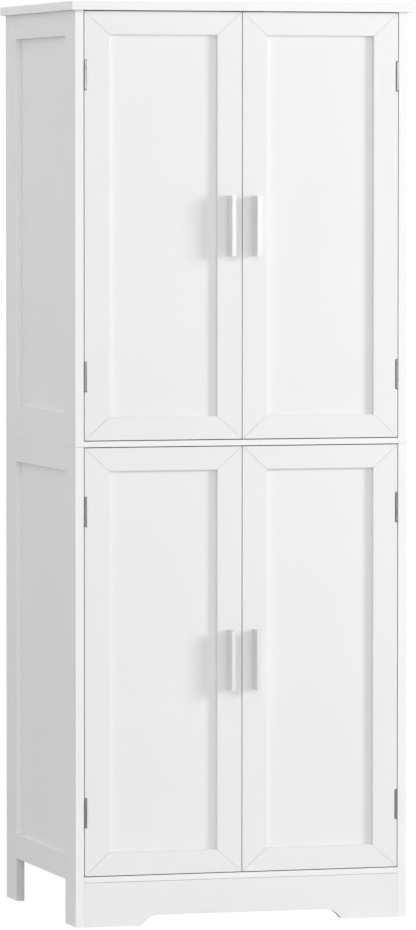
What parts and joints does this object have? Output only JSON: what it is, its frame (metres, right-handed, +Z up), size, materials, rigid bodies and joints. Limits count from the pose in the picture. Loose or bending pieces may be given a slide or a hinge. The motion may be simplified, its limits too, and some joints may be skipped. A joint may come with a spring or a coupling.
{
  "type": "pantry cabinet",
  "caption": "Tall white storage cabinet with framed doors on butt hinges, bar handles, adjustable shelves, framed sides and a shaped kickboard.",
  "frame": {"origin": "on the floor, at the centre of the outer box in X and Y", "axes": "+Z up, -Y towards the front (the doors), +X to the right seen from the front"},
  "size_m": [0.62, 0.508, 1.6],
  "materials": {
    "white_board": "smooth white satin laminate on board",
    "panel_board": "smooth white satin laminate on thin board",
    "back_board": "white lacquered hardboard",
    "handle_metal": "satin anodised",
    "hinge_steel": "nickel plated",
    "screw_steel": "zinc plated",
    "pin_steel": "nickel plated",
    "catch_plastic": "moulded, matt",
    "magnet": "dark plated, satin",
    "dowel_wood": "bare fluted beech",
    "cam_metal": "die cast zinc, raw"
  },
  "bodies": {
    "root": {"top_panel": "white_board", "middle_panel": "white_board", "bottom_panel": "white_board", "kickboard": "white_board", "upper_back_panel": "back_board", "lower_back_panel": "back_board", "left_upper_front_stile": "white_board", "left_upper_rear_stile": "white_board", "left_upper_side_rails": "white_board", "left_upper_side_panel": "panel_board", "left_lower_front_stile": "white_board", "left_lower_rear_stile": "white_board", "left_lower_side_rails": "white_board", "left_lower_side_panel": "panel_board", "right_upper_front_stile": "white_board", "right_upper_rear_stile": "white_board", "right_upper_side_rails": "white_board", "right_upper_side_panel": "panel_board", "right_lower_front_stile": "white_board", "right_lower_rear_stile": "white_board", "right_lower_side_rails": "white_board", "right_lower_side_panel": "panel_board", "upper_high_shelf": "white_board", "upper_low_shelf": "white_board", "lower_high_shelf": "white_board", "lower_low_shelf": "white_board", "shelf_pins": "pin_steel", "hinge_frame_leaves": "hinge_steel", "hinge_pins": "hinge_steel", "frame_screws": "screw_steel", "magnetic_catches": "catch_plastic", "catch_magnets": "magnet", "dowels": "dowel_wood", "cam_bolts": "screw_steel", "cam_locks": "cam_metal", "back_screws": "screw_steel"},
    "upper_left_door": {"upper_left_door_stiles": "white_board", "upper_left_door_rails": "white_board", "upper_left_door_panel": "panel_board", "upper_left_handle": "handle_metal", "upper_left_hinge_leaves": "hinge_steel", "upper_left_door_fixings": "screw_steel"},
    "upper_right_door": {"upper_right_door_stiles": "white_board", "upper_right_door_rails": "white_board", "upper_right_door_panel": "panel_board", "upper_right_handle": "handle_metal", "upper_right_hinge_leaves": "hinge_steel", "upper_right_door_fixings": "screw_steel"},
    "lower_left_door": {"lower_left_door_stiles": "white_board", "lower_left_door_rails": "white_board", "lower_left_door_panel": "panel_board", "lower_left_handle": "handle_metal", "lower_left_hinge_leaves": "hinge_steel", "lower_left_door_fixings": "screw_steel"},
    "lower_right_door": {"lower_right_door_stiles": "white_board", "lower_right_door_rails": "white_board", "lower_right_door_panel": "panel_board", "lower_right_handle": "handle_metal", "lower_right_hinge_leaves": "hinge_steel", "lower_right_door_fixings": "screw_steel"}
  },
  "joints": [
    {"name": "upper_left_door_hinge", "type": "hinge", "parent": "root", "child": "upper_left_door", "pos_m": [-0.2822, -0.22525, 1.2135], "axis": [0, 0, -1], "range_deg": [0, 110]},
    {"name": "upper_right_door_hinge", "type": "hinge", "parent": "root", "child": "upper_right_door", "pos_m": [0.2822, -0.22525, 1.2135], "axis": [0, 0, 1], "range_deg": [0, 110]},
    {"name": "lower_left_door_hinge", "type": "hinge", "parent": "root", "child": "lower_left_door", "pos_m": [-0.2822, -0.22525, 0.4595], "axis": [0, 0, -1], "range_deg": [0, 110]},
    {"name": "lower_right_door_hinge", "type": "hinge", "parent": "root", "child": "lower_right_door", "pos_m": [0.2822, -0.22525, 0.4595], "axis": [0, 0, 1], "range_deg": [0, 110]}
  ]
}
